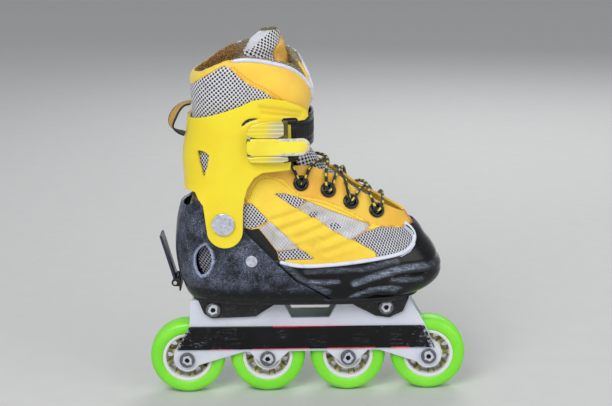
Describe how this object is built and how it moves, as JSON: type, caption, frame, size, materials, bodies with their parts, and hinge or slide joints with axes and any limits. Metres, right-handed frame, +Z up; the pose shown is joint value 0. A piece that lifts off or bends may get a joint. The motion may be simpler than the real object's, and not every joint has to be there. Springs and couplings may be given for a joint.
{
  "type": "inline skate",
  "caption": "Inline skate for the right foot: hard two-part shell, textile upper, hinged cuff with buckle, toe that slides for size, and wheels in line under a frame.",
  "frame": {"origin": "on the ground, below the middle of the wheelbase and the skate's long middle plane", "axes": "+X towards the toe, +Z up, -Y towards the outer side with the buckle"},
  "size_m": [0.303, 0.1092, 0.3526],
  "materials": {
    "black_plastic": "scuffed satin",
    "black_gloss": "gloss, scratched",
    "pale_plastic": "satin",
    "lining": "brushed",
    "grey_plastic": "satin",
    "mesh_textile": "mesh",
    "white_plastic": "satin",
    "steel": "zinc plated",
    "bearing_steel": "ground",
    "shield_steel": "pressed",
    "spacer_aluminium": "turned",
    "orange_textile": "woven",
    "silver_trim": "smooth",
    "lace_textile": "braided",
    "yellow_plastic": "gloss",
    "orange_leather": "smooth",
    "webbing": "woven",
    "strap_plastic": "satin",
    "clear_grey_plastic": "translucent",
    "dark_blue_plastic": "gloss",
    "green_urethane": "satin"
  },
  "bodies": {
    "boot": {"sole_plate": "black_plastic", "rear_shell": "black_plastic", "shell_rivets": "pale_plastic", "heel_liner": "lining", "footbed": "lining", "size_latch": "grey_plastic", "tongue": "mesh_textile", "frame": "white_plastic", "side_panel_outer": "black_gloss", "side_panel_inner": "black_gloss", "mount_bolts": "steel", "mount_nuts": "steel", "axle_screws": "steel", "axle_barrels": "steel", "bearing_inner_rings": "bearing_steel", "bearing_spacers": "spacer_aluminium", "cuff_rivets": "steel", "size_bracket": "black_plastic", "size_lever_pin": "pale_plastic"},
    "toe": {"toe_shell": "black_gloss", "vamp": "orange_textile", "piping": "silver_trim", "eyelets": "black_gloss", "lace": "lace_textile", "size_rack": "grey_plastic"},
    "cuff": {"cuff": "yellow_plastic", "cuff_bushes": "pale_plastic", "collar": "orange_leather", "pull_loop": "webbing", "strap": "strap_plastic", "strap_rivet": "steel", "buckle_base": "clear_grey_plastic", "buckle_rivets": "steel", "buckle_pin": "steel"},
    "buckle_lever": {"buckle_lever": "yellow_plastic"},
    "size_lever": {"size_lever": "dark_blue_plastic"},
    "wheel_1": {"tyre_1": "green_urethane", "hub_1": "white_plastic", "bearing_outer_rings_1": "bearing_steel", "bearing_balls_1": "bearing_steel", "bearing_shields_1": "shield_steel"},
    "wheel_2": {"tyre_2": "green_urethane", "hub_2": "white_plastic", "bearing_outer_rings_2": "bearing_steel", "bearing_balls_2": "bearing_steel", "bearing_shields_2": "shield_steel"},
    "wheel_3": {"tyre_3": "green_urethane", "hub_3": "white_plastic", "bearing_outer_rings_3": "bearing_steel", "bearing_balls_3": "bearing_steel", "bearing_shields_3": "shield_steel"},
    "wheel_4": {"tyre_4": "green_urethane", "hub_4": "white_plastic", "bearing_outer_rings_4": "bearing_steel", "bearing_balls_4": "bearing_steel", "bearing_shields_4": "shield_steel"}
  },
  "joints": [
    {"name": "cuff_flex", "type": "hinge", "parent": "boot", "child": "cuff", "pos_m": [-0.0754, 0, 0.178], "axis": [0, 1, 0], "range_deg": [0, 8]},
    {"name": "toe_slide", "type": "slide", "parent": "boot", "child": "toe", "axis": [1, 0, 0], "range_m": [0, 0.012]},
    {"name": "buckle_open", "type": "hinge", "parent": "cuff", "child": "buckle_lever", "pos_m": [-0.0495, -0.0541, 0.2504], "axis": [0, 0, -1], "range_deg": [0, 100]},
    {"name": "size_lever_open", "type": "hinge", "parent": "boot", "child": "size_lever", "pos_m": [-0.1246, 0, 0.112], "axis": [0, -1, 0], "range_deg": [0, 80]},
    {"name": "wheel_1_spin", "type": "hinge", "parent": "boot", "child": "wheel_1", "pos_m": [-0.1155, 0, 0.036], "axis": [0, 1, 0], "continuous": true},
    {"name": "wheel_2_spin", "type": "hinge", "parent": "boot", "child": "wheel_2", "pos_m": [-0.0385, 0, 0.036], "axis": [0, 1, 0], "continuous": true},
    {"name": "wheel_3_spin", "type": "hinge", "parent": "boot", "child": "wheel_3", "pos_m": [0.0385, 0, 0.036], "axis": [0, 1, 0], "continuous": true},
    {"name": "wheel_4_spin", "type": "hinge", "parent": "boot", "child": "wheel_4", "pos_m": [0.1155, 0, 0.036], "axis": [0, 1, 0], "continuous": true}
  ]
}
